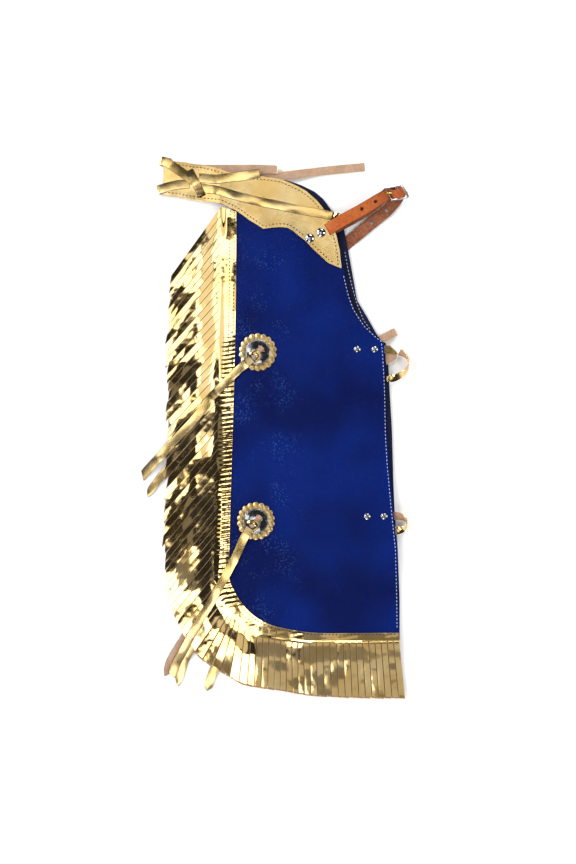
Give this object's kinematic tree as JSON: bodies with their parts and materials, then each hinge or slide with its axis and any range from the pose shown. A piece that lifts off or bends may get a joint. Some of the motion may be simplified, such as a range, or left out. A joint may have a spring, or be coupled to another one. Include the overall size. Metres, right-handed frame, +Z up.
{
  "type": "fringed leather chaps",
  "caption": "Fringed leather riding chaps laid flat, one leg on the other, with laced back belt, front strap and buckle, concho strings and leg straps.",
  "frame": {"origin": "under the middle of the laid-out pair, on the surface it lies on", "axes": "+Y from the hem towards the belt, +X from the laced back towards the front strap, +Z up from the surface"},
  "size_m": [0.433, 0.8697, 0.0393],
  "materials": {
    "blue_chap_leather": "pebbled, satin",
    "gold_foil_leather": "mirror foil face",
    "flesh_side": "napped, matt",
    "tan_strap_leather": "satin",
    "brown_strap_leather": "matt",
    "nickel_plate": "polished",
    "brass": "polished"
  },
  "bodies": {
    "root": {"leg_upper": "blue_chap_leather", "leg_lower": "blue_chap_leather", "yoke_upper": "gold_foil_leather", "yoke_lower": "gold_foil_leather", "belt_upper": "gold_foil_leather", "belt_lower": "gold_foil_leather", "fringe_upper_side": "gold_foil_leather", "fringe_upper_corner": "gold_foil_leather", "fringe_upper_hem": "gold_foil_leather", "lace_loop_top": "gold_foil_leather", "lace_loop_low": "gold_foil_leather", "lace_knot": "gold_foil_leather", "lace_end_short": "gold_foil_leather", "lace_end_long": "gold_foil_leather", "leg_strap_upper_fold": "gold_foil_leather", "leg_strap_upper_loop": "gold_foil_leather", "leg_strap_lower_loop": "gold_foil_leather", "rosette_upper": "gold_foil_leather", "rosette_lower": "gold_foil_leather", "string_1": "gold_foil_leather", "string_2": "gold_foil_leather", "string_3": "gold_foil_leather", "string_5": "gold_foil_leather", "string_6": "gold_foil_leather", "fringe_lower_side": "flesh_side", "fringe_lower_corner": "flesh_side", "fringe_lower_hem": "flesh_side", "lace_tail_short": "flesh_side", "lace_tail_long": "flesh_side", "leg_strap_upper_tab": "flesh_side", "concho_knot_upper": "flesh_side", "concho_knot_lower": "flesh_side", "string_4": "flesh_side", "billet": "tan_strap_leather", "chape": "brown_strap_leather", "buckle_frame": "nickel_plate", "yoke_stud_1": "nickel_plate", "yoke_stud_2": "nickel_plate", "strap_rivet_1": "nickel_plate", "strap_rivet_2": "nickel_plate", "strap_rivet_3": "nickel_plate", "strap_rivet_4": "nickel_plate", "concho_upper": "nickel_plate", "concho_lower": "nickel_plate", "buckle_tongue": "brass"}
  },
  "joints": []
}
